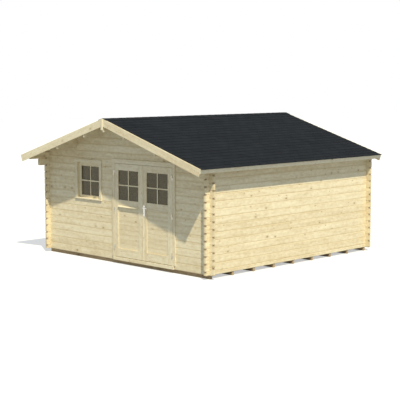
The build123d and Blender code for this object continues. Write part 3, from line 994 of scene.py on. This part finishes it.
def heads_on_points():
    """A head on each point: a low cone with a driver's recess, standing off the face."""
    g = Pattern("fixing_heads")
    points = g.takes("Points", "Geometry")
    radius, rise, recess = [g.takes(name) for name in ("Radius", "Rise", "Recess")]
    turn = g.takes("Turn", "Vector")
    cone = {"Vertices": 10, "Radius Top": radius * 0.72, "Radius Bottom": radius, "Depth": rise}
    made = g.node("GeometryNodeMeshCone", {"fill_type": "NGON"}, cone)
    top = g.node("GeometryNodeMeshCone", {"fill_type": "NGON"}, cone, "Top")
    rim = {"mode": "FACES"}
    ring = {"Mesh": made, "Selection": top, "Offset Scale": 0.0}
    stepped = g.node("GeometryNodeExtrudeMesh", rim, ring)
    inner = g.node("GeometryNodeExtrudeMesh", rim, ring, "Top")
    drawn = g.node("GeometryNodeScaleElements", {"domain": "FACE"},
                   {"Geometry": stepped, "Selection": inner, "Scale": 0.6})
    sunk = g.node("GeometryNodeExtrudeMesh", rim,
                  {"Mesh": drawn, "Selection": inner, "Offset Scale": recess * -1.0})
    laid = g.node("GeometryNodeInstanceOnPoints", {},
                  {"Points": points, "Instance": sunk, "Rotation": turn})
    g.ends(laid)
    return g


heads = heads_on_points()


def put_heads(name, body, points, outward, radius, rise, recess, material=zinc):
    """Fixing heads on a face that looks outward."""
    turn = Vector(outward).to_track_quat("Z", "Y").to_euler()
    mesh = heads.mesh({"Radius": radius, "Rise": rise, "Recess": recess, "Turn": tuple(turn),
                       "Origin": (0.0, 0.0, 0.0), "Along": (1.0, 0.0, 0.0),
                       "Across": (0.0, 1.0, 0.0), "Up": (0.0, 0.0, 1.0), "Material": material},
                      points)
    fixed(mesh, name, body, material)


hinge_screw = {"radius": 0.0036, "rise": 0.0008, "recess": 0.0006}
hinge_screw_heights = (0.16, 0.5, 0.84)
hinge_screw_inset = 0.35


def hinge_screws(node, name, body):
    """Three screws in the flat of each hinge leaf."""
    points = []
    mesh = clean_copy(node)
    for faces in solids_of(mesh):
        corners = [vertex.co for face in faces for vertex in face.verts]
        knuckle = min(corners, key=lambda c: c.y)
        edge = max(corners, key=lambda c: abs(c.x - knuckle.x))
        flat = [c for c in corners if abs(c.x - edge.x) < 0.0001]
        front = min(c.y for c in flat)
        foot, top = min(c.z for c in flat), max(c.z for c in flat)
        x = edge.x + (knuckle.x - edge.x) * hinge_screw_inset
        points += [(x, front, foot + (top - foot) * part) for part in hinge_screw_heights]
    mesh.free()
    put_heads(name, body, points, (0, -1, 0), **hinge_screw)


hinge_screws("frame_hinges", "frame_hinge_screws", "shed")
hinge_screws("left_door_hinges", "left_hinge_screws", "left_door")
hinge_screws("right_door_hinges", "right_hinge_screws", "right_door")

plate_low, plate_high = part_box("handle_plates")
plate_x = (plate_low.x + plate_high.x) / 2
plate_screw = {"radius": 0.0042, "rise": 0.001, "recess": 0.0008}
plate_screw_inset = 0.012
plate_ends = (plate_low.z + plate_screw_inset, plate_high.z - plate_screw_inset)
for face, y, outward in (("outer", plate_low.y, -1), ("inner", plate_high.y, 1)):
    put_heads(f"{face}_plate_screws", "right_door", [(plate_x, y, z) for z in plate_ends],
              (0, outward, 0), material=satin, **plate_screw)


def nail_rows(node, outward, spacing=0.6, margin=0.02, from_end=0.12):
    """Pairs of nails along the faces of straight boards that look outward."""
    points = []
    mesh = clean_copy(node)
    for faces in solids_of(mesh):
        along, across, deep = axes_of(faces)
        if deep.dot(Vector(outward)) < 0:
            deep = -deep
        if deep.dot(Vector(outward)) < 0.9:
            continue
        middle = centre_of(faces)
        corners = [vertex.co for face in faces for vertex in face.verts]
        run, reach, depth = [max((c - middle).dot(axis) for c in corners)
                             for axis in (along, across, deep)]
        steps = max(1, round((2 * run - 2 * from_end) / spacing))
        for step in range(steps + 1):
            place = middle + deep * depth + along * ((run - from_end) * (2 * step / steps - 1))
            points += [place + across * ((reach - margin) * way) for way in (-1, 1)]
    mesh.free()
    return points


nail = {"radius": 0.0028, "rise": 0.0006, "recess": 0.0}
put_heads("door_trim_nails", "shed", nail_rows("door_trims", (0, -1, 0), from_end=0.03),
          (0, -1, 0), **nail)
put_heads("window_trim_nails", "shed",
          nail_rows("window_trims", (0, -1, 0), spacing=0.35, from_end=0.05), (0, -1, 0), **nail)


# The keyhole's darkness is painted shade: a near-black speckled sheet stands where the hole would
# lie in shade.
def keyhole_shade_material():
    material, g = material_named("keyhole")
    speckle = g.noise(g.place(), 700.0, 2.0)
    surface(g, Base_Color=g.mix(speckle, shade(18, 18, 18), shade(34, 33, 32)), Roughness=0.7)
    return material


keyhole_painted_shade = keyhole_shade_material()
keyhole_radius = 0.005
keyhole_height = plate_low.z + 0.064
keyhole_steps = 16
slot_half_width = 0.0035
slot_drop = 0.016
keyhole_proud = 0.0001
keyhole_thickness = 0.0006


def keyhole():
    """The profile of a keyhole, laid on the outer plate: a round over a tapering slot, as a thin
    dark sheet whose colour is painted shade for the hole.
    """
    mesh = bmesh.new()
    outline = []
    for step in range(keyhole_steps + 1):
        angle = math.radians(-60 + step * 300 / keyhole_steps)
        outline.append((plate_x + keyhole_radius * math.cos(angle),
                        keyhole_height + keyhole_radius * math.sin(angle)))
    for side in (-1, 1):
        outline.append((plate_x + side * slot_half_width, keyhole_height - slot_drop))
    face = mesh.faces.new([mesh.verts.new((x, plate_low.y - keyhole_proud, z))
                           for x, z in outline])
    got = bmesh.ops.extrude_face_region(mesh, geom=[face])
    for part in got["geom"]:
        if isinstance(part, bmesh.types.BMVert):
            part.co.y += keyhole_thickness
    fixed(mesh, "keyhole_recess", "right_door", keyhole_painted_shade)


keyhole()


# Stage, light and camera.
# A plain pale floor and a white backdrop, a high sun from the front right and soft light
# from all round.

def shown_rays(g):
    """1 for rays from the camera and for what metal and glass show, else 0."""
    seen = [g.node("ShaderNodeLightPath", {}, {}, ray)
            for ray in ("Is Camera Ray", "Is Glossy Ray", "Is Transmission Ray")]
    return g.math("MAXIMUM", g.math("MAXIMUM", seen[0], seen[1]), seen[2])


def stage_material():
    """White with a light shadow where it is seen, and mid grey for the light it throws back."""
    material, g = material_named("studio_floor")
    grey = g.node("ShaderNodeBsdfDiffuse", {}, {"Color": (0.30, 0.33, 0.38, 1.0)})
    pale = g.node("ShaderNodeBsdfDiffuse", {}, {"Color": (0.9, 0.9, 0.9, 1.0)})
    white = g.node("ShaderNodeEmission", {}, {"Strength": 1.0})
    seen = g.node("ShaderNodeMixShader", {}, {0: 0.5, 1: pale, 2: white})
    chosen = g.node("ShaderNodeMixShader", {}, {0: shown_rays(g), 1: grey, 2: seen})
    g.node("ShaderNodeOutputMaterial", {}, {"Surface": chosen})
    return material


def studio_sky():
    """White where it is seen, and a soft blue fill for the light it gives."""
    world = bpy.data.worlds.new("studio_sky")
    world.use_nodes = True
    g = Graph(world.node_tree)
    fill = g.node("ShaderNodeBackground", {}, {"Color": (0.80, 0.90, 1.0, 1.0), "Strength": 0.53})
    white = g.node("ShaderNodeBackground", {}, {"Color": (1.0, 1.0, 1.0, 1.0), "Strength": 1.0})
    chosen = g.node("ShaderNodeMixShader", {}, {0: shown_rays(g), 1: fill, 2: white})
    g.node("ShaderNodeOutputWorld", {}, {"Surface": chosen})
    bpy.context.scene.world = world


floor_reach = 60.0
floor_corners = [(x * floor_reach, y * floor_reach, 0.0)
                 for x, y in ((-1, -1), (1, -1), (1, 1), (-1, 1))]
floor_mesh = bpy.data.meshes.new("studio_floor")
floor_mesh.from_pydata(floor_corners, [], [(0, 1, 2, 3)])
floor_mesh.materials.append(stage_material())
floor = bpy.data.objects.new("studio_floor", floor_mesh)
sun_light = bpy.data.lights.new("sun", "SUN")
sun_light.energy = 4.25
sun_light.angle = math.radians(1.0)
sun_light.color = (1.0, 0.92, 0.72)
sun = bpy.data.objects.new("sun", sun_light)
sun_way = Vector((0.513, -0.309, 0.803))
sun.rotation_euler = sun_way.to_track_quat("Z", "Y").to_euler()
for made in (floor, sun):
    bpy.context.scene.collection.objects.link(made)
studio_sky()
bpy.context.scene.view_settings.view_transform = "Standard"

camera_place = (16.1165, -16.6432, 3.6932)
camera_heading = math.radians(44.5275)
camera_dip = math.radians(6.3767)
camera_data = bpy.data.cameras.new("camera")
camera_data.sensor_width = 36.0
camera_data.lens = 97.33
camera_data.clip_end = 200.0
camera = bpy.data.objects.new("camera", camera_data)
camera_way = Vector((-math.sin(camera_heading) * math.cos(camera_dip),
                     math.cos(camera_heading) * math.cos(camera_dip), -math.sin(camera_dip)))
camera.location = camera_place
camera.rotation_euler = camera_way.to_track_quat("-Z", "Y").to_euler()
bpy.context.scene.collection.objects.link(camera)
bpy.context.scene.camera = camera
